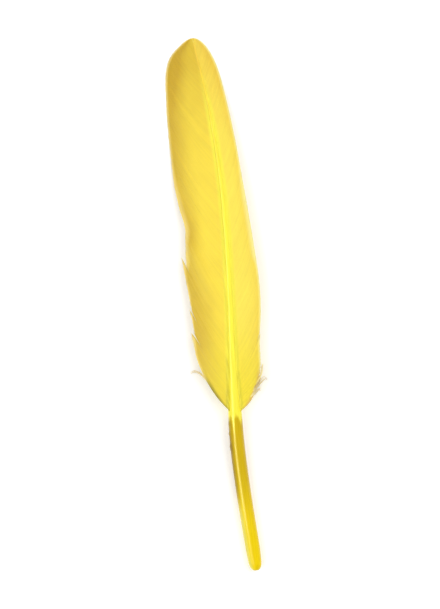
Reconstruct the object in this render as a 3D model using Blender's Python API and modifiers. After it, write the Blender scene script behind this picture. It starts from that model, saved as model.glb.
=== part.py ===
"""A dyed goose quill feather, lying on its underside on a flat surface.

The feather grew as one piece, so it is one object: a tapering shaft, bare and round at the
quill and grooved below further up, and two vanes of barbs that leave it at a slant, a broad
one and a narrow one. The barbs are drawn together in locks, which the vanes show as ridges.

Metres, +Z up. +Y runs from the quill's end to the feather's tip, and +X to the narrow vane.
The tables below are in millimetres, and their first column is the distance from the quill's end.
"""

import math

import bmesh
import bpy

MM = 0.001

# The whole feather
LENGTH = 160.0
DYE_YELLOW = (0.95, 0.74, 0.09, 1.0)

# Shaft: where its middle runs seen from above, how high its middle is, and its radius
SHAFT_SIDEWAYS = [(0, 0.58), (36, -0.7), (63, 0.75), (81, 2.1), (99, 3.1), (117, 3.5),
                  (140, 2.4), (160, 0.0)]
SHAFT_RISE = [(9, 0.0), (25, 0.6), (45, 2.0), (65, 3.3), (90, 4.0), (115, 2.9), (135, 0.7),
              (148, -1.3), (160, -2.6)]
SHAFT_RADIUS = [(0, 2.1), (14, 2.2), (30, 2.2), (44, 2.1), (51, 1.6), (60, 1.25), (90, 0.9),
                (125, 0.65), (160, 0.4)]
SHAFT_SIDES = 16
SHAFT_END = 152.5
QUILL_FLAT_END = 9.0
QUILL_TIP_LENGTH = 2.4
RING_SPACING = 3.5
GROOVE_START = 48.0
GROOVE_FULL = 62.0
GROOVE_DEPTH = 0.35
RACHIS_DEPTH = 1.15

# Vanes: how far each edge is from the shaft's middle, before the tip is rounded off
BROAD_WIDTH = [(46, 0.6), (50, 3.5), (57, 7.6), (65, 10.6), (75, 11.5), (83, 12.1), (95, 13.6),
               (96, 12.0), (102, 12.0), (110, 13.2), (118, 13.9), (136, 12.9), (150, 10.6),
               (155.5, 9.9), (158, 7.6), (160, 6.0)]
NARROW_WIDTH = [(46, 0.6), (50, 4.6), (57, 7.9), (68, 8.4), (77, 9.0), (85, 9.0), (97, 8.0),
                (115, 6.5), (127, 6.1), (147, 5.4), (160, 5.0)]
BROAD_TIP_START = 146.0
NARROW_TIP_START = 147.0

# Barbs: where the barb that leaves the shaft at the first distance reaches the vane's edge
BROAD_REACH = [(47, 57), (60, 83), (80, 106), (100, 127), (120, 144), (135, 152.5), (147, 157.6),
               (159.8, 160)]
NARROW_REACH = [(47, 51), (60, 76), (80, 97), (100, 114), (120, 132), (135, 145), (147, 154), (159.8, 160)]
FIRST_BARB = 47.0
LAST_BARB = 159.8
BARB_BOW_OUT = 0.60
BARB_BOW_AHEAD = 0.38

# Vane surface: thickness, hollow below, height on the shaft, and how it lies on the ground
VANE_THICKNESS = 0.45
VANE_CAMBER = 0.018
VANE_SEAT = 0.35
GROUND_BLEND = 0.4

# Locks: how many each vane has, their relief, and how far the edge steps in between them
LOCKS = 38
LOCK_RELIEF = 0.16
LOCK_NOTCH = 0.018
ROWS_PER_VANE = 5
SPLIT_SEAMS = {2: 0.09, 4: 0.12, 8: 0.20}

# Loose locks that have come away at the foot of the vanes: sideways, along, and how far below the vane
LOOSE_LOCKS = [
    [(-6.4, 56.0, 0.0), (-8.6, 59.0, 0.1), (-11.0, 62.2, 0.4), (-12.6, 61.6, 0.8), (-13.2, 59.9, 1.2)],
    [(5.4, 53.4, 0.0), (7.4, 54.8, 0.1), (9.2, 57.2, 0.4), (10.6, 57.0, 0.8), (11.2, 55.6, 1.2)],
    [(4.0, 50.8, 0.0), (5.8, 51.8, 0.1), (7.6, 54.0, 0.4), (8.8, 53.6, 0.7), (9.3, 52.2, 1.0)],
]
LOOSE_LOCK_RADIUS = 0.32
LOOSE_LOCK_TIP = 0.5

# Middle of the feather's footprint, sideways and along, which is placed on the origin
FOOTPRINT_MIDDLE = (-0.985, 80.013)


def curve_through(stations, at):
    """The smooth curve through a table's points, read at one distance from the quill's end."""
    if at <= stations[0][0]:
        return stations[0][1]
    if at >= stations[-1][0]:
        return stations[-1][1]
    k = next(i for i in range(len(stations) - 1) if at < stations[i + 1][0])

    def slope(i):
        low, high = max(i - 1, 0), min(i + 1, len(stations) - 1)
        return (stations[high][1] - stations[low][1]) / (stations[high][0] - stations[low][0])

    (start, a), (end, b) = stations[k], stations[k + 1]
    span = end - start
    t = (at - start) / span
    from_start = (1 + 2 * t) * (1 - t) ** 2 * a + t * (1 - t) ** 2 * span * slope(k)
    from_end = t * t * (3 - 2 * t) * b - t * t * (1 - t) * span * slope(k + 1)
    return from_start + from_end


def ease(low, high, at):
    """0 below low and 1 above high, with a smooth step between them."""
    t = min(max((at - low) / (high - low), 0.0), 1.0)
    return t * t * (3 - 2 * t)


def rests_on(ground, height, blend=GROUND_BLEND):
    """A height that never goes below the ground, blended where it comes down to it."""
    above = height - ground
    if above >= blend:
        return height
    if above <= -blend:
        return ground
    return ground + (above + blend) ** 2 / (4 * blend)


def shaft_radius(y):
    """Half the shaft's width, which stays the same along the flat underside of the quill's end."""
    return curve_through(SHAFT_RADIUS, max(y, QUILL_FLAT_END))


def shaft_middle(y):
    """Where the shaft's middle is at distance y: how far sideways, and how high."""
    rachis = ease(GROOVE_START, GROOVE_FULL, y)
    ground = shaft_radius(y) * (1 + (RACHIS_DEPTH - 1) * rachis)
    line = shaft_radius(0) * math.cos(math.pi / SHAFT_SIDES) + curve_through(SHAFT_RISE, y)
    return curve_through(SHAFT_SIDEWAYS, y), rests_on(ground, line, GROUND_BLEND) if rachis else line


def vane_height(x, y):
    """Height of the vanes' middle: level with the shaft's upper part, hollow below, down to the ground."""
    middle, height = shaft_middle(y)
    line = height + VANE_SEAT * max(shaft_radius(y) - VANE_THICKNESS / 2, 0.0)
    return rests_on(VANE_THICKNESS / 2, line - VANE_CAMBER * (x - middle) ** 2)


def vane_width(side, y):
    """Distance from the shaft's middle to the vane's edge at distance y, with the rounded tip."""
    stations, tip_start = (BROAD_WIDTH, BROAD_TIP_START) if side < 0 else (NARROW_WIDTH, NARROW_TIP_START)
    into_tip = min(max((y - tip_start) / (LENGTH - tip_start), 0.0), 1.0)
    return curve_through(stations, y) * math.sqrt(1 - into_tip ** 2)


def barb_point(side, root, out, reach):
    """A point on the barb that leaves the shaft at root, at the share out of the way to its tip."""
    tip_y = curve_through(BROAD_REACH if side < 0 else NARROW_REACH, root)
    tip_x = shaft_middle(tip_y)[0] + side * vane_width(side, tip_y)
    along = out * reach
    bowed = 2 * (1 - along) * along
    share_out = bowed * BARB_BOW_OUT + along ** 2
    share_ahead = bowed * BARB_BOW_AHEAD + along ** 2
    root_x = shaft_middle(root)[0]
    return root_x + (tip_x - root_x) * share_out, root + (tip_y - root) * share_ahead


def clear_scene():
    for obj in list(bpy.data.objects):
        bpy.data.objects.remove(obj, do_unlink=True)


def dyed_feather_material():
    material = bpy.data.materials.new("dyed_feather")
    material.use_nodes = True
    shader = material.node_tree.nodes["Principled BSDF"]
    shader.inputs["Base Color"].default_value = DYE_YELLOW
    shader.inputs["Roughness"].default_value = 0.5
    return material


def object_from(shape, name, collection):
    """A new object with this bmesh as its mesh, from millimetres to metres."""
    bmesh.ops.scale(shape, vec=(MM, MM, MM), verts=shape.verts)
    mesh = bpy.data.meshes.new(name)
    shape.to_mesh(mesh)
    shape.free()
    obj = bpy.data.objects.new(name, mesh)
    collection.objects.link(obj)
    return obj


def make_shaft(collection):
    """The quill and its rachis: a rod cut into rings, each ring then given its size and place."""
    shape = bmesh.new()
    bmesh.ops.create_cone(shape, cap_ends=True, segments=SHAFT_SIDES, radius1=1, radius2=1, depth=SHAFT_END)
    half_side = math.pi / SHAFT_SIDES
    rings = [QUILL_TIP_LENGTH * share for share in (0.12, 0.35, 0.65, 1.0)] + [QUILL_FLAT_END]
    rings += [RING_SPACING * i for i in range(2, int(SHAFT_END / RING_SPACING) + 1)]
    for ring in sorted(set(rings)):
        everything = shape.verts[:] + shape.edges[:] + shape.faces[:]
        level = (0, 0, ring - SHAFT_END / 2)
        bmesh.ops.bisect_plane(shape, geom=everything, dist=1e-6, plane_co=level, plane_no=(0, 0, 1))
    for vert in shape.verts:
        y = vert.co.z + SHAFT_END / 2
        angle = math.atan2(vert.co.y, vert.co.x) + half_side
        from_end = min(y / QUILL_TIP_LENGTH, 1.0)
        rounding = math.sqrt(max(1 - (1 - from_end) ** 2, 0.12))
        radius = shaft_radius(y) * rounding
        rachis = ease(GROOVE_START, GROOVE_FULL, y)
        depth = radius * (1 + (RACHIS_DEPTH - 1) * rachis)
        in_groove = math.sin(angle) < -math.cos(1.5 * half_side)
        lift = GROOVE_DEPTH * radius * rachis if in_groove else 0.0
        middle, height = shaft_middle(y)
        vert.co = (middle + radius * math.cos(angle), y, height + depth * math.sin(angle) + lift)
    bmesh.ops.recalc_face_normals(shape, faces=shape.faces)
    return object_from(shape, "feather", collection)


def make_vanes(collection):
    """Both vanes as one sheet across the shaft: each column of the grid follows one barb out to both
    edges, and every second column is the seam between two locks."""
    shape = bmesh.new()
    columns = 2 * LOCKS
    bmesh.ops.create_grid(shape, x_segments=columns, y_segments=2 * ROWS_PER_VANE, size=1)
    for vert in shape.verts:
        column = round((vert.co.x + 1) / 2 * columns)
        root = FIRST_BARB + (LAST_BARB - FIRST_BARB) * column / columns
        side = -1 if vert.co.y < 0 else 1
        out = abs(vert.co.y)
        seam = column % 2 == 0
        notch = LOCK_NOTCH if seam else 0.0
        if seam and side < 0:
            notch = SPLIT_SEAMS.get(column // 2, notch)
        x, y = barb_point(side, root, out, 1 - notch * ease(LAST_BARB, LAST_BARB - 20, root))
        relief = LOCK_RELIEF * ease(0.1, 0.5, out) * (-1 if seam else 1) / 2
        vert.co = (x, y, vane_height(x, y) + max(relief, VANE_THICKNESS / 2 - vane_height(x, y)))
    bmesh.ops.recalc_face_normals(shape, faces=shape.faces)
    vanes = object_from(shape, "vane_sheet", collection)
    thickness = vanes.modifiers.new("thickness", "SOLIDIFY")
    thickness.thickness = VANE_THICKNESS * MM
    thickness.offset = 0
    return vanes


def make_loose_lock(number, points, collection):
    """A thin tapering strand along a smooth curve, made a mesh so that it can be joined to the vane."""
    strand = bpy.data.curves.new("strand", "CURVE")
    strand.dimensions = "3D"
    strand.resolution_u = 4
    strand.bevel_depth = LOOSE_LOCK_RADIUS * MM
    strand.bevel_resolution = 1
    strand.use_fill_caps = True
    spline = strand.splines.new("NURBS")
    spline.points.add(len(points) - 1)
    for i, (x, y, below) in enumerate(points):
        spline.points[i].co = (x * MM, y * MM, (vane_height(x, y) - below) * MM, 1)
        spline.points[i].radius = 1 - (1 - LOOSE_LOCK_TIP) * i / (len(points) - 1)
    spline.use_endpoint_u = True
    guide = bpy.data.objects.new("strand_guide", strand)
    collection.objects.link(guide)
    graph = bpy.context.evaluated_depsgraph_get()
    mesh = bpy.data.meshes.new_from_object(guide.evaluated_get(graph))
    bpy.data.objects.remove(guide, do_unlink=True)
    shape = bmesh.new()
    shape.from_mesh(mesh)
    bmesh.ops.remove_doubles(shape, verts=shape.verts, dist=1e-6)
    bmesh.ops.recalc_face_normals(shape, faces=shape.faces)
    shape.to_mesh(mesh)
    shape.free()
    lock = bpy.data.objects.new(f"loose_lock_{number}", mesh)
    collection.objects.link(lock)
    return lock


def main():
    clear_scene()
    feather_parts = bpy.data.collections.new("goose_quill_feather")
    joined_shapes = bpy.data.collections.new("joined_shapes")
    bpy.context.scene.collection.children.link(feather_parts)
    bpy.context.scene.collection.children.link(joined_shapes)
    place = bpy.data.objects.new("feather_place", None)
    feather_parts.objects.link(place)
    place.location = (-FOOTPRINT_MIDDLE[0] * MM, -FOOTPRINT_MIDDLE[1] * MM, 0)
    feather = make_shaft(feather_parts)
    grown_on = [make_vanes(joined_shapes)]
    grown_on += [make_loose_lock(i, points, joined_shapes) for i, points in enumerate(LOOSE_LOCKS)]
    for shape in grown_on:
        shape.hide_render = True
        shape.display_type = "WIRE"
    for shape in [feather] + grown_on:
        shape.parent = place
    grown_together = feather.modifiers.new("vanes_and_locks_on_shaft", "BOOLEAN")
    grown_together.operation = "UNION"
    grown_together.operand_type = "COLLECTION"
    grown_together.collection = joined_shapes
    feather.data.materials.append(dyed_feather_material())


main()
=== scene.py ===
"""The finish of a dyed goose quill feather, which lies on its underside on a pale table."""

import math
from functools import partial

import bpy
import numpy as np
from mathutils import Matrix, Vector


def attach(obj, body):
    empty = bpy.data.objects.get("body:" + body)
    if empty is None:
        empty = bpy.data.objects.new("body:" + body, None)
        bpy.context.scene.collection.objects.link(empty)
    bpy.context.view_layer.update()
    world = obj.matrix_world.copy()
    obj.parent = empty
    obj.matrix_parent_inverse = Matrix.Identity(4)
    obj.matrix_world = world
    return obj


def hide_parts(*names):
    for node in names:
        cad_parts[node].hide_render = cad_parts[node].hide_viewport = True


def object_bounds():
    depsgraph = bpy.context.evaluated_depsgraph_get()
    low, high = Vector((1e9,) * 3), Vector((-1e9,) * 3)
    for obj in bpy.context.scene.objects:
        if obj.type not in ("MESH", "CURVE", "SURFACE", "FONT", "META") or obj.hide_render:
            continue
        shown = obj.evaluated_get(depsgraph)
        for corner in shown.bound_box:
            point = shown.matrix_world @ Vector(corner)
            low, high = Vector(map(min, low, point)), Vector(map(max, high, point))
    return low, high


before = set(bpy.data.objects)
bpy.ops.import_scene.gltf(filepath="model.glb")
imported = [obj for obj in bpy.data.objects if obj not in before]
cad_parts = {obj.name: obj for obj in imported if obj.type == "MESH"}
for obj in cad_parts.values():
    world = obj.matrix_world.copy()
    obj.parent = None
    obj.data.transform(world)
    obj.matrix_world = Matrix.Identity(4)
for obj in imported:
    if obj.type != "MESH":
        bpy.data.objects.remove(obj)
cad_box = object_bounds()


# The shaft: one hollow horn tube, bare and round at the quill, and a solid tapering rachis
# between the vanes, with a groove along its underside. It is closed and rounded at the quill's
# end, with a small pit where it fed, and it is dyed through, so the horn looks like amber glass.

# Sizes are in millimetres. Places are measured from the quill's end: x to the right, y toward
# the tip, z up from the table. The materials read the frame instead, in metres from its middle.
MM = 0.001
FOOTPRINT_MIDDLE_X = -0.985
QUILL_END_Y = -cad_box[0].y / MM

# Each list gives a size, or the middle's place, at distances from the quill's end.
SHAFT_SIDEWAYS = [(0, 0.58), (36, -0.7), (63, 0.75), (81, 2.1), (99, 3.1), (117, 3.5),
                  (140, 2.4), (160, 0.0)]
SHAFT_RISE = [(9, 0.0), (25, 0.6), (45, 2.0), (65, 3.3), (90, 4.0), (115, 2.9), (135, 0.7),
              (148, -1.3), (160, -2.6)]
SHAFT_RADIUS = [(9, 2.16), (30, 2.2), (44, 2.12), (49, 1.95), (54, 1.6), (61, 1.24), (75, 1.0),
                (100, 0.78), (125, 0.54), (145, 0.32), (158, 0.16), (160, 0.1)]
QUILL_RADIUS = 2.16
SOLID_SIDES = 16
UNDERSIDE_HEIGHT = QUILL_RADIUS * math.cos(math.pi / SOLID_SIDES)
GROUND_BLEND = 0.4
SHAFT_TIP = 158.6
SHAFT_TIP_HEIGHT = 0.3

# The rachis is deeper than it is wide and a little square. Its groove is given in shares of the
# radius there.
RACHIS_START, RACHIS_FULL = 47.0, 60.0
RACHIS_DEPTH, RACHIS_SQUARENESS = 1.15, 0.25
GROOVE_DEPTH, GROOVE_WIDTH = 0.45, 0.3

# The quill's end: a pit in the middle of a dome, as places and shares of the radius.
END_PIT = [(1.1, 0.0), (0.9, 0.08), (0.45, 0.13), (0.12, 0.18), (0.0, 0.27)]
END_DOME_LENGTH, END_DOME_START, END_DOME_RINGS = 2.6, 0.12, 14
END_SHARE = 0.84

# The small pit on the underside where the bare quill ends, and flakes of sheath on the left.
PIT_Y, PIT_DEPTH, PIT_LENGTH, PIT_WIDTH = 46.5, 0.5, 1.4, 0.22
FLAKE_HEIGHT = 0.16

# Where the quill's gold and the rachis's lemon meet, the lemon runs down in two prongs, the long one
# along the painted highlight line.
LONG_PRONG, SHORT_PRONG = 5.5, 2.2

SHAFT_SIDES, RING_SPACING = 56, 0.75


def curve_through(stations, at):
    """The smooth curve through a list of (place, value) points, read at one place or at many."""
    place, value = np.array(stations, float).T
    step = np.arange(len(place))
    low, high = np.maximum(step - 1, 0), np.minimum(step + 1, len(place) - 1)
    slope = (value[high] - value[low]) / (place[high] - place[low])
    at = np.clip(at, place[0], place[-1])
    k = np.clip(np.searchsorted(place, at, side="right") - 1, 0, len(place) - 2)
    span = place[k + 1] - place[k]
    t = (at - place[k]) / span
    from_start = (1 + 2 * t) * (1 - t) ** 2 * value[k] + t * (1 - t) ** 2 * span * slope[k]
    return from_start + t * t * (3 - 2 * t) * value[k + 1] - t * t * (1 - t) * span * slope[k + 1]


def ease(low, high, at):
    """0 below low and 1 above high, with a smooth step between them."""
    t = np.clip((at - low) / (high - low), 0, 1)
    return t * t * (3 - 2 * t)


def bell(offset, width):
    """1 at no offset, fading to nothing over about twice the width on either side."""
    return np.exp(-((offset / width) ** 2))


def rests_on(ground, height, blend):
    """Heights that never go below the ground, blended where they come down to it."""
    above = height - ground
    blended = ground + (above + blend) ** 2 / (4 * blend)
    return np.where(above >= blend, height, np.where(above <= -blend, ground, blended))


def shaft_depth(y, radius):
    """Half the shaft's depth where its half width is the radius."""
    return radius * (1 + (RACHIS_DEPTH - 1) * ease(RACHIS_START, RACHIS_FULL, y))


def shaft_middle(y):
    """Where the shaft's middle is: how far sideways and how high."""
    ground = np.maximum(shaft_depth(y, curve_through(SHAFT_RADIUS, y)), SHAFT_TIP_HEIGHT)
    line = UNDERSIDE_HEIGHT + curve_through(SHAFT_RISE, y)
    height = np.where(y > RACHIS_START, rests_on(ground, line, GROUND_BLEND), line)
    return curve_through(SHAFT_SIDEWAYS, y), height


def to_frame(x, y, z):
    """Millimetres from the quill's end to metres in the frame, as one array of points."""
    return np.stack([(x - FOOTPRINT_MIDDLE_X) * MM, (y - QUILL_END_Y) * MM, z * MM], axis=-1)


def finish_mesh(merge_within=0.0):
    """Merge the active mesh's points that meet, turn its faces outward and shade it smooth."""
    bpy.ops.object.mode_set(mode="EDIT")
    bpy.ops.mesh.select_all(action="SELECT")
    if merge_within:
        bpy.ops.mesh.remove_doubles(threshold=merge_within)
    bpy.ops.mesh.normals_make_consistent(inside=False)
    bpy.ops.object.mode_set(mode="OBJECT")
    bpy.ops.object.shade_smooth()


dome_rim = END_PIT[-1][1]
end_dome = [(END_DOME_LENGTH * (1 - math.cos(a)), dome_rim + (1 - dome_rim) * math.sin(a))
            for a in np.linspace(END_DOME_START, math.pi / 2, END_DOME_RINGS)]
body = [(y, 1.0) for y in np.arange(3.2, SHAFT_TIP, RING_SPACING)]
far_end = [(SHAFT_TIP, 0.8), (SHAFT_TIP + 0.2, 0.45), (SHAFT_TIP + 0.25, 0.0)]
ring_y, ring_share = np.array(END_PIT + end_dome + body + far_end).T
ring_share = ring_share * (END_SHARE + (1 - END_SHARE) * ease(-1, 8, ring_y))

# A grid rolled into a tube: its second axis runs along the shaft, its first goes round it.
bpy.ops.object.select_all(action="DESELECT")
bpy.ops.mesh.primitive_grid_add(x_subdivisions=SHAFT_SIDES, y_subdivisions=len(ring_y) - 1, size=2)
shaft = bpy.context.object
shaft.name = "shaft"
grid = np.empty(len(shaft.data.vertices) * 3)
shaft.data.vertices.foreach_get("co", grid)
grid = grid.reshape(-1, 3)
ring = np.rint((grid[:, 1] + 1) / 2 * (len(ring_y) - 1)).astype(int)
turn = math.pi * (1 - grid[:, 0])
y = ring_y[ring]
radius = curve_through(SHAFT_RADIUS, y) * ring_share[ring]
rachis = ease(RACHIS_START, RACHIS_FULL, y)
power = 1 - RACHIS_SQUARENESS * rachis
wide = np.sign(np.cos(turn)) * np.abs(np.cos(turn)) ** power
deep = np.sign(np.sin(turn)) * np.abs(np.sin(turn)) ** power

below = np.clip(-deep, 0, 1)
groove = GROOVE_DEPTH * rachis * radius * bell(wide, GROOVE_WIDTH) * below
pit = PIT_DEPTH * bell(y - PIT_Y, PIT_LENGTH) * bell(wide, PIT_WIDTH) * below
sheath = ease(34, 37, y) * ease(47.5, 45, y) * np.clip(-wide, 0, 1) ** 4
flakes = FLAKE_HEIGHT * sheath * np.clip(np.sin(y * 2.9) + np.sin(y * 1.7 + 1) - 0.4, 0, 2)
middle, height = shaft_middle(y)
shaft_x = middle + (radius + flakes) * wide
shaft_z = np.maximum(height + shaft_depth(y, radius) * deep + groove + pit, 0)
shaft.data.vertices.foreach_set("co", to_frame(shaft_x, y, shaft_z).ravel())

# The painted highlight line down the quill's top left, and how far the lemon runs down on each side.
toward_end = ease(28, 8, y)
line_place, line_width = -0.27 - 0.33 * toward_end, 0.13 + 0.15 * toward_end
upper_side = ease(-0.2, 0.4, deep)
painted_highlight_line = bell(wide - line_place, line_width) * upper_side
prongs = MM * (LONG_PRONG * painted_highlight_line + SHORT_PRONG * bell(wide - 0.75, 0.2) * upper_side)
for name, values in (("around", wide), ("painted_highlight_line", painted_highlight_line), ("prongs", prongs)):
    shaft.data.attributes.new(name, "FLOAT", "POINT").data.foreach_set("value", values)
finish_mesh(merge_within=1e-7)


def dye(red, green, blue):
    """A colour named by its screen values from 0 to 255, as a shader reads it."""
    level = np.array([red, green, blue]) / 255
    linear = np.where(level <= 0.04045, level / 12.92, ((level + 0.055) / 1.055) ** 2.4)
    return (*linear.tolist(), 1.0)


def set_inputs(node, inputs):
    """Give a node's inputs, by name or number, their values or the sockets that feed them."""
    for key, value in inputs.items():
        if isinstance(value, bpy.types.NodeSocket):
            node.id_data.links.new(value, node.inputs[key])
        else:
            node.inputs[key].default_value = value


def add_node(tree, kind, inputs={}, **settings):
    """A node of this kind, with its settings and its inputs."""
    node = tree.nodes.new(kind)
    for name, value in settings.items():
        setattr(node, name, value)
    set_inputs(node, inputs)
    return node


def new_material(name):
    """An empty material, its Principled shader, and a function that adds a node to it."""
    material = bpy.data.materials.new(name)
    material.use_nodes = True
    tree = material.node_tree
    return material, tree.nodes["Principled BSDF"], partial(add_node, tree)


def object_place(add):
    """The point being shaded, in metres in the frame."""
    return add("ShaderNodeTexCoord").outputs["Object"]


def axis_of(add, vector, axis):
    """One axis of a vector."""
    return add("ShaderNodeSeparateXYZ", {0: vector}).outputs[axis]


def attribute(add, name):
    """A number that each point of the mesh carries."""
    return add("ShaderNodeAttribute", attribute_name=name).outputs["Fac"]


def compute(add, operation, *values):
    """One step of arithmetic on values or sockets."""
    return add("ShaderNodeMath", dict(enumerate(values)), operation=operation).outputs[0]


def product(add, result, *others):
    """Values or sockets multiplied together."""
    for value in others:
        result = compute(add, "MULTIPLY", result, value)
    return result


def remap(add, value, low, high, to_low=0.0, to_high=1.0):
    """A value carried from one range to another by a smooth step, and held at its ends."""
    inputs = {0: value, 1: low, 2: high, 3: to_low, 4: to_high}
    return add("ShaderNodeMapRange", inputs, interpolation_type="SMOOTHSTEP").outputs[0]


def stretched(add, place, scale):
    """A place with each axis scaled."""
    return add("ShaderNodeMapping", {"Vector": place, "Scale": scale}).outputs[0]


def grain(add, place, counts):
    """Noise from 0 to 1, with so many patches per unit along each axis."""
    inputs = {"Vector": stretched(add, place, counts), "Scale": 1.0, "Detail": 3.0}
    return add("ShaderNodeTexNoise", inputs).outputs["Fac"]


def blend(add, share, first, second, kind="MIX"):
    """Two colours mixed by a share."""
    inputs = {0: share, 6: first, 7: second}
    return add("ShaderNodeMix", inputs, data_type="RGBA", blend_type=kind).outputs[2]


def bump(add, height, strength, distance):
    """A surface relief too fine for the mesh."""
    inputs = {"Strength": strength, "Distance": distance, "Height": height}
    return add("ShaderNodeBump", inputs).outputs[0]


def make_uneven_dye():
    """A shader group: a colour between a pale and a deep shade, clouded by how the dye took."""
    group = bpy.data.node_groups.new("uneven_dye", "ShaderNodeTree")
    sockets = {"Place": "Vector", "Pale": "Color", "Deep": "Color", "Depth": "Float", "Clouding": "Float"}
    for name, kind in sockets.items():
        group.interface.new_socket(name, in_out="INPUT", socket_type=f"NodeSocket{kind}")
    group.interface.new_socket("Color", in_out="OUTPUT", socket_type="NodeSocketColor")
    add = partial(add_node, group)
    given = add("NodeGroupInput").outputs
    clouds = compute(add, "SUBTRACT", grain(add, given["Place"], (130, 130, 130)), 0.5)
    depth = compute(add, "MULTIPLY_ADD", clouds, given["Clouding"], given["Depth"])
    kept = add("ShaderNodeClamp", {"Value": depth}).outputs[0]
    add("NodeGroupOutput", {"Color": blend(add, kept, given["Pale"], given["Deep"])})
    return group


uneven_dye = make_uneven_dye()


def dyed(add, place, pale, deep, depth, clouding=0.4):
    """The uneven dye between two shades, at a depth from 0 to 1."""
    inputs = {"Place": place, "Pale": pale, "Deep": deep, "Depth": depth, "Clouding": clouding}
    return add("ShaderNodeGroup", inputs, node_tree=uneven_dye).outputs[0]


# Horn: deep gold at the top of the bare quill, clear yellow toward its end, and a dark stain high on its
# left side. Painted shade darkens that side to olive, painted light makes it pale cream low down, and a
# painted highlight runs down its top left. Between the vanes it is pale lemon, with painted light along
# its sides, and the two shades meet in two long prongs.
QUILL_YELLOW, QUILL_GOLD = dye(237, 206, 4), dye(205, 172, 4)
PAINTED_HIGHLIGHT_YELLOW, PAINTED_SHADE_OLIVE, PAINTED_LIGHT_PALE_SIDE = dye(253, 229, 50), dye(150, 122, 12), dye(240, 229, 112)
DARK_STAIN = dye(116, 84, 18)
RACHIS_LEMON, RACHIS_WARM = dye(250, 240, 68), dye(252, 224, 68)
RACHIS_SIDES_PAINTED_LIGHT, RACHIS_TIP = dye(253, 240, 84), dye(242, 202, 66)

horn, shader, add = new_material("dyed_horn")
place = object_place(add)
y_here = axis_of(add, place, "Y")
around = attribute(add, "around")
fibres = grain(add, place, (1500, 60, 1500))
patches = grain(add, place, (600, 200, 600))

quill_depth = remap(add, y_here, -0.072, -0.046)
gold = dyed(add, stretched(add, place, (3, 0.6, 3)), QUILL_YELLOW, QUILL_GOLD, quill_depth, 0.5)
# Painted highlight: the line down the quill's top left is mixed toward a pale yellow.
gold = blend(add, product(add, attribute(add, "painted_highlight_line"), 0.6), gold, PAINTED_HIGHLIGHT_YELLOW)
# Painted shade: the quill's left side, turned from the light, is darkened to olive.
painted_left_shade = product(add, remap(add, around, -0.45, -0.95), remap(add, y_here, -0.066, -0.050, 0.0, 0.75),
                remap(add, y_here, -0.040, -0.034, 1.0, 0.5))
gold = blend(add, painted_left_shade, gold, PAINTED_SHADE_OLIVE)
# Painted light: the lower left of the bare quill is paled to cream.
painted_light_low_left = product(add, remap(add, around, -0.4, -0.8),
                   remap(add, y_here, -0.056, -0.066, 0.0, 0.7))
gold = blend(add, painted_light_low_left, gold, PAINTED_LIGHT_PALE_SIDE)
stain = product(add, remap(add, y_here, -0.048, -0.043), remap(add, around, -0.45, -0.8),
                remap(add, patches, 0.5, 0.64, 0.0, 0.4))
gold = blend(add, stain, gold, DARK_STAIN)

lemon = dyed(add, place, RACHIS_LEMON, RACHIS_WARM, remap(add, y_here, 0.01, 0.07, 0.1, 0.9))
# Painted light: the rachis's sides are paled, lifting the shade beside it.
painted_light_on_sides = remap(add, compute(add, "ABSOLUTE", around), 0.5, 0.95, 0.0, 0.5)
lemon = blend(add, painted_light_on_sides, lemon, RACHIS_SIDES_PAINTED_LIGHT)
lemon = blend(add, remap(add, y_here, 0.06, 0.078), lemon, RACHIS_TIP)

wavy_y = compute(add, "MULTIPLY_ADD", patches, 0.006, y_here)
rachis_share = remap(add, compute(add, "ADD", wavy_y, attribute(add, "prongs")), -0.0320, -0.0290)
horn_colour = blend(add, rachis_share, gold, lemon)
horn_colour = blend(add, 1.0, horn_colour, remap(add, fibres, 0.3, 0.7, 0.93, 1.04), "MULTIPLY")
set_inputs(shader, {
    "Base Color": horn_colour,
    "Roughness": remap(add, fibres, 0.3, 0.7, 0.2, 0.34),
    "Normal": bump(add, fibres, strength=0.2, distance=0.00006),
    "Specular IOR Level": 0.12,
    "Coat Weight": remap(add, y_here, -0.072, -0.058, 0.1, 0.32),
    "Coat Roughness": 0.2,
})
shaft.data.materials.append(horn)
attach(shaft, "root")
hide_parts("feather")


# The broad vane: a sheet of some three hundred barbs, each a keeled blade that leaves the rachis
# at a slant and curves toward the tip. Wings of barbules along a barb's sides overlap its
# neighbours' and hook them together, and where three locks have come unhooked they stand off.

# Widths are at distances from the quill's end. A reach is the place where a barb leaves the
# shaft and the place where it ends. A split is the place of the last barb below it, the share cut
# off the barbs above it, how far the lock below it stands off, and the length over which the cut
# runs out. A seam is a place and how far the barbs part there.
BROAD_VANE = {
    "side": -1,
    "widths": [(46, 0.6), (50, 3.5), (57, 7.6), (65, 10.6), (75, 11.5), (83, 12.1), (94.5, 13.5),
               (97, 13.1), (103, 11.9), (110, 13.2), (118, 13.9), (136, 12.9), (150, 10.6),
               (155.5, 9.4), (158, 7.6), (160, 6.0)],
    "reaches": [(47, 57), (60, 83), (80, 106), (100, 127), (120, 144), (135, 152.5), (147, 157.4),
                (154, 159.4), (158.4, 160)],
    "tip_start": 146.0,
    "splits": [(54.6, 0.05, 0.6, 2.5), (57.9, 0.04, 0.25, 2.5), (69.7, 0.105, 0.1, 6.0)],
    "seams": [(64.2, 0.04), (83.5, 0.05), (111.0, 0.04)],
    "seed": 4,
}
FEATHER_LENGTH = 160.0
TIP_ROUNDING = 2.35
BARBS, BARB_RINGS, LOCKS = 320, 25, 38
FIRST_BARB, LAST_BARB = 47.0, 158.4
BARB_BOW_OUT, BARB_BOW_AHEAD = 0.60, 0.38
BARB_OVERLAP, NARROWEST_PITCH = 0.60, 0.06

# The section of a barb: how far to either side, as a share of its half width, and how high.
BARB_SECTION = [(-1.0, -0.012), (-0.4, 0.02), (0.0, 0.042), (0.4, 0.024), (1.0, 0.008), (0.1, -0.15)]

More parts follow.
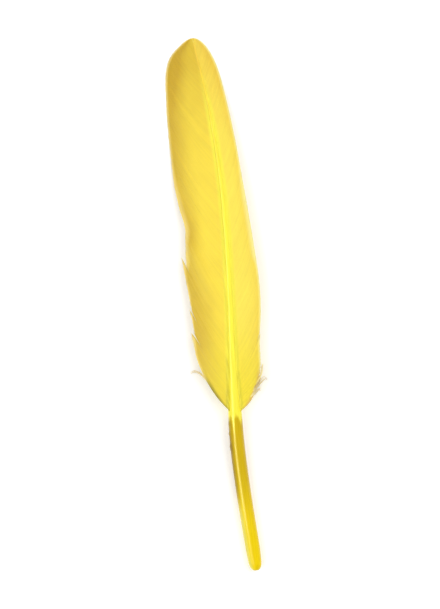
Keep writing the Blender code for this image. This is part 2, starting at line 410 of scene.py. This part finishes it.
# The sheet: how thick, how it falls away from the shaft, how far up the shaft it sits, how its
# locks and its own waves lift it, and how the barbs rise against the shaft.
VANE_THICKNESS, VANE_CAMBER, VANE_SEAT = 0.45, 0.018, 0.62
LOCK_RELIEF, VANE_WAVE = 0.02, 0.05
SHAFT_FILLET, FILLET_WIDTH = 0.5, 0.25

# How the barbs differ: how far they reach past the measured edge, how much shorter a lock's
# outer barbs are, and how far ends, sides and heights stray.
BARB_OVERREACH, LOCK_ROUNDING = 1.018, 0.006
STRAY_END, STRAY_SIDE, STRAY_HEIGHT = 0.006, 0.025, 0.008

# Beside a split or a seam: how far the barbs part, over how long a stretch of them they part or
# flare, and how wide and strong the painted shadow in the crease is.
SPLIT_PARTING, SPLIT_STRETCH, FLARE_STRETCH, SEAM_STRETCH = 0.2, 1.4, 0.9, 1.2
SPLIT_SHADOW_WIDTH, SEAM_SHADOW_WIDTH, SEAM_SHADOW_STRENGTH = 0.35, 0.25, 0.4


def unit(vectors):
    """Vectors of length one."""
    return vectors / np.linalg.norm(vectors, axis=-1, keepdims=True)


def vane_height(x, y):
    """Height of the vanes' middle: level with the shaft's upper part, and sloping to the table."""
    middle, height = shaft_middle(y)
    seat = VANE_SEAT * np.maximum(curve_through(SHAFT_RADIUS, y) - VANE_THICKNESS / 2, 0)
    line = height + seat - VANE_CAMBER * (x - middle) ** 2
    return rests_on(VANE_THICKNESS / 2, line, GROUND_BLEND)


def edge_distance(vane, y, last=1.0):
    """How far a vane's edge is from the shaft's middle, rounded off over the last of its length."""
    into_tip = np.clip((y - vane["tip_start"]) / (FEATHER_LENGTH - vane["tip_start"]), 0, last)
    return curve_through(vane["widths"], y) * np.sqrt(1 - into_tip ** TIP_ROUNDING)


def barb_place(vane, root, out):
    """The point on the barb that leaves the shaft at root, a share of the way out to the edge."""
    tip_y = curve_through(vane["reaches"], root)
    tip_x = shaft_middle(tip_y)[0] + vane["side"] * edge_distance(vane, tip_y)
    bowed = 2 * (1 - out) * out
    root_x = shaft_middle(root)[0]
    x = root_x + (tip_x - root_x) * (bowed * BARB_BOW_OUT + out ** 2)
    return x, root + (tip_y - root) * (bowed * BARB_BOW_AHEAD + out ** 2)


def closed_strips(name, points, attributes, along, across):
    """One mesh of many closed strips, from points given as strips by rings by corners by 3."""
    strips, rings, corners = points.shape[:3]
    index = np.arange(strips * rings * corners).reshape(strips, rings, corners)
    turned = np.roll(index, -1, axis=2)
    walls = np.stack([index[:, :-1], turned[:, :-1], turned[:, 1:], index[:, 1:]], axis=-1)
    faces = walls.reshape(-1, 4).tolist() + index[:, 0, ::-1].tolist() + index[:, -1].tolist()
    mesh = bpy.data.meshes.new(name)
    mesh.from_pydata(points.reshape(-1, 3).tolist(), [], faces)
    for key, values in attributes.items():
        spread = np.broadcast_to(values, points.shape[:3]).ravel()
        mesh.attributes.new(key, "FLOAT", "POINT").data.foreach_set("value", spread)
    corner_of = np.empty(len(mesh.loops), int)
    mesh.loops.foreach_get("vertex_index", corner_of)
    sides = [np.broadcast_to(side, points.shape[:3]).ravel() for side in (along, across)]
    uv = np.stack(sides, axis=-1)
    mesh.uv_layers.new(name="along_barb").data.foreach_set("uv", uv[corner_of].ravel())
    obj = bpy.data.objects.new(name, mesh)
    bpy.context.scene.collection.objects.link(obj)
    bpy.ops.object.select_all(action="DESELECT")
    bpy.context.view_layer.objects.active = obj
    obj.select_set(True)
    finish_mesh()
    return obj


def open_places(vane, root):
    """How far each barb is cut short, parted from the next and flared out at its end, and how much
    painted crease shadow it gets.
    """
    cut, parting, flare, painted_crease_shadow = (np.zeros_like(root) for _ in range(4))
    for seam, deep, stand_off, taper in vane["splits"]:
        above, below = root > seam, root <= seam
        cut += deep * np.clip(1 - (root - seam) / taper, 0, 1) * above
        parting -= SPLIT_PARTING * bell(root - seam, SPLIT_STRETCH) * below
        flare += stand_off * bell(root - seam, FLARE_STRETCH) * below
        painted_crease_shadow += bell(root - seam, SPLIT_SHADOW_WIDTH)
    for seam, gap in vane["seams"]:
        parting += gap * np.sign(root - seam) * np.exp(-np.abs(root - seam) / SEAM_STRETCH)
        painted_crease_shadow += SEAM_SHADOW_STRENGTH * bell(root - seam, SEAM_SHADOW_WIDTH)
    return cut, parting, flare, painted_crease_shadow


def make_vane(name, vane):
    """A vane: barbs side by side from the quill to the tip, in locks, open at splits and seams."""
    chance = np.random.default_rng(vane["seed"])
    side = vane["side"]
    root = np.linspace(FIRST_BARB, LAST_BARB, BARBS)[:, None]
    out = np.linspace(0, 1, BARB_RINGS)[None, :] ** 0.9
    in_lock = (root - FIRST_BARB) / (LAST_BARB - FIRST_BARB) * LOCKS % 1 - 0.5
    cut, parting, flare, painted_crease_shadow = open_places(vane, root)
    reach = BARB_OVERREACH - LOCK_ROUNDING * np.abs(in_lock * 2) ** 3
    reach = reach - chance.uniform(0, STRAY_END, root.shape) - cut

    # The barbs' middle lines. The wings are as wide as the barbs lie apart before they stray.
    steady_x, steady_y = barb_place(vane, root, out * reach)
    stray = chance.normal(0, STRAY_SIDE, root.shape) * out ** 3
    x, y = barb_place(vane, root + parting * out ** 10 + stray, out * reach)
    x = x + side * flare * out ** 12
    ahead = unit(np.stack([np.gradient(x, axis=1), np.gradient(y, axis=1)], axis=-1))
    over_x, over_y = -side * ahead[..., 1], side * ahead[..., 0]
    pitch = np.abs(np.gradient(steady_x, axis=0) * over_x + np.gradient(steady_y, axis=0) * over_y)
    half = np.maximum(pitch, NARROWEST_PITCH) * BARB_OVERLAP * (1 - 0.5 * ease(0.97, 1, out))
    lift = LOCK_RELIEF * np.cos(in_lock * 2 * math.pi) * ease(0.1, 0.5, out)
    lift = lift + chance.normal(0, STRAY_HEIGHT, root.shape)
    lift = lift + VANE_WAVE * np.sin(y * 0.31 + side) * np.sin(x * 0.4) * out

    # Their section, thinner toward the end and raised beside the shaft.
    over, up = np.array(BARB_SECTION).T
    px = x[..., None] + over * (half * over_x)[..., None]
    py = y[..., None] + over * (half * over_y)[..., None]
    away = np.abs(px - shaft_middle(py)[0])
    beside_shaft = away - curve_through(SHAFT_RADIUS, py)
    fillet = SHAFT_FILLET * curve_through(SHAFT_RADIUS, py) * bell(beside_shaft, FILLET_WIDTH)
    thick = (1 - 0.7 * out)[..., None]
    section = up * np.where(up < 0, thick, 0.4 + 0.6 * thick)
    pz = vane_height(px, py) + fillet + lift[..., None] + section

    # What the material reads: places within the vane, each barb's own tone, and the painted shadow at the
    # open seams.
    # The edge is kept just open at the very tip, so that its rim doesn't vanish there.
    edge = edge_distance(vane, py, last=0.999)
    step = np.hypot(np.diff(x, axis=1), np.diff(y, axis=1))
    along = np.concatenate([np.zeros_like(root), np.cumsum(step, axis=1)], axis=1)
    from_end = 0.4 * (along[:, -1:] - along)[..., None]
    attributes = {
        "away": np.clip(away / np.maximum(edge, 0.3), 0, 1),
        "inside": np.where(cut[..., None] > 0.01, from_end, edge - away),
        "beside_shaft": beside_shaft,
        "barb_tone": chance.uniform(0, 1, root.shape)[..., None],
        "painted_crease_shadow": (painted_crease_shadow * ease(0.75, 0.97, out))[..., None],
        "beside": np.abs(over),
    }
    across = (np.arange(BARBS)[:, None, None] + over / 2) / BARBS
    return closed_strips(name, to_frame(px, py, pz), attributes, along[..., None] / 10, across)


vane_broad = make_vane("vane_broad", BROAD_VANE)

# Barbs: deeper toward the vane's edge and the feather's tip, partly dye and partly painted shade where
# the vane falls away from the light, and faintly streaked. Painted light makes them pale beside the
# shaft, a painted highlight pales the rim, and painted shadow darkens the creases at splits and seams.
# Along the foot's edge they turn olive on the broad vane, a painted shade, and a darker tan on the narrow
# one. The foot of the vane is a clearer yellow.
FOOT_YELLOW, PAINTED_LIGHT_BESIDE_SHAFT, PAINTED_SHADOW_OLIVE = dye(247, 227, 56), dye(254, 245, 76), dye(176, 146, 30)
BROAD_DYE_AND_PAINTED_LIGHT = {
    "pale": dye(252, 226, 69), "deep": dye(218, 182, 50), "at_tip": dye(208, 170, 36),
    "painted_rim_highlight": dye(254, 230, 134), "foot_edge_shade_and_tan": dye(156, 140, 28),
    "edge_dye_and_shade": 0.9, "edge_start": 0.08, "tip_dye_and_shade": 0.5,
}


def vane_material(name, pale, deep, at_tip, painted_rim_highlight, foot_edge_shade_and_tan, edge_dye_and_shade, edge_start, tip_dye_and_shade):
    """The barbs' material, from a vane's shades, painted light and shade among them, and from how deep
    its dye and painted shade are, and where.
    """
    material, shader, add = new_material(name)
    place = object_place(add)
    y_here = axis_of(add, place, "Y")
    uv = add("ShaderNodeUVMap", uv_map="along_barb").outputs[0]
    inside = attribute(add, "inside")

    pale = blend(add, remap(add, y_here, -0.028, 0.0, 1.0, 0.0), pale, FOOT_YELLOW)
    pale = blend(add, remap(add, y_here, 0.030, 0.065, 0.0, 0.17), pale, at_tip)
    deep = blend(add, remap(add, y_here, 0.056, 0.074), deep, at_tip)
    # Deeper toward the edge and the tip: partly dye, partly painted shade where the vane falls away from
    # the light.
    start = compute(add, "SUBTRACT", remap(add, y_here, -0.002, 0.016, edge_start, 0.45),
                    remap(add, y_here, 0.058, 0.074, 0.0, 0.25))
    depth = compute(add, "MULTIPLY_ADD", remap(add, attribute(add, "away"), start, 1.0),
                    remap(add, y_here, -0.028, -0.012, 0.35 * edge_dye_and_shade, edge_dye_and_shade),
                    remap(add, y_here, 0.045, 0.078, 0.0, tip_dye_and_shade))
    colour = dyed(add, place, pale, deep, depth)

    streaks = grain(add, uv, (1.2, 150, 1))
    tone = product(add, attribute(add, "barb_tone"), 0.4)
    shade = compute(add, "MULTIPLY_ADD", streaks, 0.6, tone)
    colour = blend(add, 1.0, colour, remap(add, shade, 0.25, 0.75, 0.955, 1.02), "MULTIPLY")

    # Painted light: barbs beside the shaft are paled, lifting the shade where they meet it.
    painted_light_near_shaft = product(add, remap(add, attribute(add, "beside_shaft"), 1.3, 0.1),
                         remap(add, y_here, 0.05, 0.074, 0.9, 0.0),
                         remap(add, y_here, -0.028, -0.014, 0.6, 1.0))
    colour = blend(add, painted_light_near_shaft, colour, PAINTED_LIGHT_BESIDE_SHAFT)
    # Painted highlight: a pale rim along the vane's edge.
    painted_rim_width = compute(add, "MULTIPLY_ADD", remap(add, y_here, 0.010, 0.014),
                        remap(add, y_here, 0.042, 0.030), 0.75)
    colour = blend(add, remap(add, inside, painted_rim_width, 0.0, 0.0, 0.85), colour, painted_rim_highlight)
    # Painted shadow: the creases at splits and seams are darkened toward olive.
    colour = blend(add, product(add, attribute(add, "painted_crease_shadow"), 0.5), colour, PAINTED_SHADOW_OLIVE)
    # Along the foot's edge: on the broad vane a painted shade, olive where the edge turns down; on the
    # narrow vane a darker tan.
    at_foot = product(add, remap(add, inside, 1.4, 0.2),
                      remap(add, y_here, -0.018, -0.025, 0.0, 0.9))
    colour = blend(add, at_foot, colour, foot_edge_shade_and_tan)

    slant = compute(add, "MULTIPLY_ADD", attribute(add, "beside"), 0.02, axis_of(add, uv, "X"))
    slanted = add("ShaderNodeCombineXYZ", {0: slant}).outputs[0]
    waves = {"Vector": slanted, "Scale": 25.0, "Distortion": 0.0}
    barbules = add("ShaderNodeTexWave", waves).outputs["Fac"]
    set_inputs(shader, {
        "Base Color": colour,
        "Roughness": remap(add, streaks, 0.3, 0.7, 0.45, 0.6),
        "Normal": bump(add, barbules, strength=0.3, distance=0.00002),
        "Specular IOR Level": 0.35,
        "Sheen Weight": 0.1,
        "Sheen Roughness": 0.4,
    })
    return material


vane_broad.data.materials.append(vane_material("broad_vane_barbs", **BROAD_DYE_AND_PAINTED_LIGHT))
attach(vane_broad, "root")
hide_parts("feather")


# The narrow vane: the same barbs on the feather's leading side, but shorter. At its foot they
# stand out more squarely from the shaft, and the vane is paler here, partly dye and partly painted
# light where it tilts toward the light.

NARROW_VANE = {
    "side": 1,
    "widths": [(46, 0.6), (50, 4.6), (57, 7.9), (68, 8.4), (77, 9.0), (85, 9.0), (97, 8.0),
               (115, 6.5), (127, 6.1), (147, 5.4), (160, 5.0)],
    "reaches": [(47, 51), (60, 76), (80, 97), (100, 114), (120, 132), (135, 145), (147, 154.5),
                (152, 157.5), (156, 159.4), (158.4, 160)],
    "tip_start": 147.0,
    "splits": [(50.5, 0.035, 0.2, 2.0), (56.5, 0.02, 0.1, 2.0)],
    "seams": [(70.0, 0.05), (96.0, 0.04)],
    "seed": 9,
}
NARROW_DYE_AND_PAINTED_LIGHT = {
    "pale": dye(254, 233, 88), "deep": dye(244, 206, 78), "at_tip": dye(238, 198, 64),
    "painted_rim_highlight": dye(255, 244, 160), "foot_edge_shade_and_tan": dye(222, 184, 92),
    "edge_dye_and_shade": 0.4, "edge_start": 0.45, "tip_dye_and_shade": 0.45,
}

vane_narrow = make_vane("vane_narrow", NARROW_VANE)
vane_narrow.data.materials.append(vane_material("narrow_vane_barbs", **NARROW_DYE_AND_PAINTED_LIGHT))
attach(vane_narrow, "root")
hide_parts("feather")


# Loose barbs and down: a few barbs have unhooked. On the broad side one bundle stands off the
# edge and one long barb curls away. At the narrow vane's foot a strand and two tufts are soft
# tan down. Each is a fine tapering barb with wings of much finer barbules.

# A path's points are x, y and how far below the vane's upper side. Spread is how far the hairs
# scatter, radius is a hair's at its root, and barbule is the length of a barbule. Tan is the
# undyed share at the ends, and shortest is the least share of the path that a hair follows.
LOOSE_BARBS = {
    "edge_bundle": {
        "path": [(-8.3, 63.5, 0.3), (-9.5, 67.0, 0.2), (-10.2, 70.0, 0.1), (-10.9, 72.7, 0.1)],
        "hairs": 9, "spread": 0.35, "radius": 0.1, "barbule": 0.25, "tan": 0.2, "shortest": 0.75,
    },
    "curled_barb": {
        "path": [(-6.6, 56.4, 0.3), (-7.9, 58.6, 0.2), (-9.4, 60.5, 0.2), (-11.2, 61.2, 0.5),
                 (-13.0, 60.2, 1.0)],
        "hairs": 6, "spread": 0.4, "radius": 0.13, "barbule": 0.5, "tan": 0.8, "shortest": 0.8,
    },
    "foot_strand": {
        "path": [(7.0, 55.4, 0.25), (8.3, 57.2, 0.0), (9.05, 58.9, -0.05), (9.45, 61.5, 0.0)],
        "hairs": 12, "spread": 0.32, "radius": 0.16, "barbule": 0.3, "tan": 0.55, "shortest": 0.8,
    },
    "upper_down": {
        "path": [(5.8, 53.4, 0.25), (7.4, 54.9, 0.0), (8.7, 56.4, 0.1), (9.9, 56.8, 0.5),
                 (11.0, 55.9, 1.0)],
        "hairs": 14, "spread": 0.9, "radius": 0.12, "barbule": 0.6, "tan": 0.95, "shortest": 0.45,
    },
    "lower_down": {
        "path": [(4.9, 51.6, 0.25), (6.2, 52.6, 0.0), (7.2, 53.4, 0.1), (8.1, 53.8, 0.4),
                 (8.8, 53.1, 0.8)],
        "hairs": 11, "spread": 0.65, "radius": 0.13, "barbule": 0.5, "tan": 0.9, "shortest": 0.6,
    },
}
HAIR_RINGS, HAIR_CORNERS = 22, 5
BARBULE_RINGS, BARBULE_CORNERS, BARBULE_RADIUS = 4, 3, 0.022
BARBULES_A_SIDE, FIRST_BARBULE, LAST_BARBULE = 26, 0.12, 0.97
ABOVE_TABLE = 0.05
LOOSE_SEED = 21

# Shares of a bundle's spread: how much the hairs fan out, bend and curl, and less of it up and
# down. The curl's turn is in radians.
HAIR_FAN, HAIR_BEND, HAIR_CURL, CURL_TURN = 0.5, 0.35, 0.4, 6.5
FLAT_SCATTER, FLAT_CURL = [1, 1, 0.5], 0.4


def follow(path, count):
    """Points evenly along the smooth curve through a path's points."""
    path = np.array(path, float)
    reached = np.cumsum(np.linalg.norm(np.diff(path, axis=0), axis=1))
    reached = np.concatenate([[0], reached])
    at = np.linspace(0, reached[-1], count)
    axes = [curve_through(np.stack([reached, axis], axis=1), at) for axis in path.T]
    return np.stack(axes, axis=-1)


def beside_path(ahead):
    """The level direction across a path, from the direction it runs in."""
    return unit(np.cross(ahead, [0.0, 0.0, 1.0]))


def tubes(paths, radius, corners):
    """Closed tubes around many paths: the paths are tubes by rings by 3, the radius tubes by rings."""
    ahead = unit(np.gradient(paths, axis=1))
    beside = beside_path(ahead)
    above = np.cross(beside, ahead)
    turn = np.arange(corners)[:, None] * 2 * math.pi / corners
    ring = np.cos(turn) * beside[:, :, None] + np.sin(turn) * above[:, :, None]
    return paths[:, :, None] + radius[:, :, None, None] * ring


def grow_hairs(chance, path, hairs, spread, shortest):
    """The hairs of one bundle: they leave its root together, fan out, bend and curl."""
    middle = follow(path, HAIR_RINGS)
    out = np.linspace(0, 1, HAIR_RINGS)[None, :, None]
    fan = chance.normal(0, HAIR_FAN, (hairs, 1, 3)) * FLAT_SCATTER
    bend = chance.normal(0, HAIR_BEND, (hairs, 1, 3)) * FLAT_SCATTER
    phase = chance.uniform(0, 2 * math.pi, (hairs, 1, 1)) + CURL_TURN * out
    curl = np.concatenate([np.cos(phase), np.sin(phase), FLAT_CURL * np.sin(phase + 1)], axis=-1)
    strayed = fan * (0.2 + 0.8 * out ** 1.4) + bend * np.sin(math.pi * out) * out
    lines = middle[None] + spread * strayed
    lines = lines + HAIR_CURL * spread * out ** 2 * curl
    kept = [max(4, int(HAIR_RINGS * share)) for share in chance.uniform(shortest, 1.0, hairs)]
    return np.stack([follow(line[:rings], HAIR_RINGS) for line, rings in zip(lines, kept)])


def grow_barbules(chance, lines, barbule):
    """Barbules along both sides of each hair, leaning toward its end, with their radius."""
    ahead = unit(np.gradient(lines, axis=1))
    beside = beside_path(ahead)
    grown = np.linspace(0, 1, BARBULE_RINGS)[:, None]
    slivers = []
    for line, forward, across in zip(lines, ahead, beside):
        for place in np.linspace(FIRST_BARBULE, LAST_BARBULE, BARBULES_A_SIDE):
            ring = int(place * (HAIR_RINGS - 1))
            for side in (-1, 1):
                reach = barbule * chance.uniform(0.6, 1.1) * (1 - 0.55 * place ** 3)
                lean = side * across[ring] * 0.75 + forward[ring] * 0.65 + [0, 0, chance.normal(0, 0.25)]
                curl = forward[ring] * chance.uniform(0.1, 0.5) + chance.normal(0, 0.15, 3)
                slivers.append(line[ring] + reach * (lean * grown + curl * grown ** 2))
    radius = BARBULE_RADIUS * (1 - 0.75 * grown[:, 0])
    return np.array(slivers), np.tile(radius, (len(slivers), 1))


def settle(paths, radius):
    """Heights given below the vanes made into heights above the table."""
    x, y, below = np.moveaxis(paths, -1, 0)
    height = np.maximum(vane_height(x, y) + 0.1 - below, radius + ABOVE_TABLE)
    return np.stack([x, y, height], axis=-1)


def make_loose_barbs():
    """The meshes of all loose barbs: each bundle's hairs, and their barbules."""
    chance = np.random.default_rng(LOOSE_SEED)
    parts = []
    for bundle in LOOSE_BARBS.values():
        lines = grow_hairs(chance, bundle["path"], bundle["hairs"], bundle["spread"], bundle["shortest"])
        taper = 1 - 0.8 * np.linspace(0, 1, HAIR_RINGS)
        line_radius = np.tile(bundle["radius"] * taper, (bundle["hairs"], 1))
        slivers, sliver_radius = grow_barbules(chance, lines, bundle["barbule"])
        for name, paths, radius, corners in (("loose_shafts", lines, line_radius, HAIR_CORNERS),
                                             ("loose_barbules", slivers, sliver_radius, BARBULE_CORNERS)):
            points = tubes(settle(paths, radius), radius, corners)
            out = np.linspace(0, 1, paths.shape[1])[None, :, None]
            tone = chance.uniform(0, 1, (len(paths), 1, 1))
            attributes = {"barb_tone": tone, "tan": bundle["tan"] * out ** 0.6}
            across = np.arange(len(paths))[:, None, None] / len(paths)
            in_frame = to_frame(*np.moveaxis(points, -1, 0))
            parts.append(closed_strips(name, in_frame, attributes, out, across))
    return parts


loose_parts = make_loose_barbs()
bpy.ops.object.select_all(action="DESELECT")
for part in loose_parts:
    part.select_set(True)
loose_barbs = loose_parts[0]
bpy.context.view_layer.objects.active = loose_barbs
bpy.ops.object.join()
loose_barbs.name = "loose_barbs"

# Down: the vanes' yellow near the root, and the undyed tan of dry down toward the tips.
DOWN_YELLOWS = dye(255, 247, 170), dye(244, 220, 110)
DOWN_TANS = dye(255, 246, 214), dye(184, 142, 84)
down, shader, add = new_material("loose_down")
place = object_place(add)
tone = attribute(add, "barb_tone")
yellow = dyed(add, place, *DOWN_YELLOWS, tone)
tan = blend(add, tone, *DOWN_TANS)
set_inputs(shader, {
    "Base Color": blend(add, attribute(add, "tan"), yellow, tan),
    "Roughness": remap(add, grain(add, place, (2500, 2500, 2500)), 0.3, 0.7, 0.5, 0.7),
    "Sheen Weight": 0.2,
    "Sheen Roughness": 0.4,
})
loose_barbs.data.materials.append(down)
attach(loose_barbs, "root")
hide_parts("feather")


# The table: a pale matt sheet with a faint glow, as product pictures are taken on, lit by an even
# sky and a wide soft light on each side. A long strip on the left only draws the bright line down
# the quill.

TABLE_SIZE, TABLE_GLOW = 4, 0.22
TABLE_SHADES = (0.88, 0.88, 0.88, 1), (0.92, 0.92, 0.92, 1)
WHITE = (1, 1, 1, 1)
SKY_STRENGTH = 0.42

bpy.ops.object.select_all(action="DESELECT")
bpy.ops.mesh.primitive_plane_add(size=TABLE_SIZE)
table = bpy.context.object
table.name = "table"
paper, shader, add = new_material("pale_table")
felted = grain(add, object_place(add), (900, 900, 900))
set_inputs(shader, {
    "Base Color": blend(add, felted, *TABLE_SHADES),
    "Roughness": 0.9,
    "Emission Color": WHITE,
    "Emission Strength": TABLE_GLOW,
})
table.data.materials.append(paper)

world = bpy.data.worlds.new("even_sky")
world.use_nodes = True
set_inputs(world.node_tree.nodes["Background"], {"Color": WHITE, "Strength": SKY_STRENGTH})
bpy.context.scene.world = world


def area_light(name, place, size, power):
    """A rectangular light aimed at the feather, sized along and across it."""
    light = bpy.data.lights.new(name, "AREA")
    light.shape = "RECTANGLE"
    light.size, light.size_y = size
    light.energy = power
    obj = bpy.data.objects.new(name, light)
    obj.location = place
    obj.rotation_euler = (-obj.location).to_track_quat("-Z", "Y").to_euler()
    bpy.context.scene.collection.objects.link(obj)
    return obj


right_light = area_light("right_light", place=(0.45, 0.15, 0.7), size=(0.7, 0.7), power=4.1)
left_light = area_light("left_light", place=(-0.5, -0.1, 0.7), size=(0.7, 0.7), power=3.4)
quill_strip = area_light("quill_strip", place=(-0.42, 0.0, 0.60), size=(0.9, 0.26), power=5.4)
right_light.visible_glossy = left_light.visible_glossy = False
quill_strip.visible_diffuse = False

# The camera looks straight down, turned so that the feather leans as it does in the picture.
CAMERA_LEAN = math.radians(-6.65)
CAMERA_DISTANCE, FRAME_HEIGHT = 1.1, 0.182
camera = bpy.data.cameras.new("camera")
camera.lens = camera.sensor_width * CAMERA_DISTANCE / FRAME_HEIGHT
camera_stand = bpy.data.objects.new("camera", camera)
camera_stand.location = (0.0, 0.0, CAMERA_DISTANCE)
camera_stand.rotation_euler = (0.0, 0.0, CAMERA_LEAN)
bpy.context.scene.collection.objects.link(camera_stand)
bpy.context.scene.camera = camera_stand
bpy.context.scene.view_settings.view_transform = "Standard"
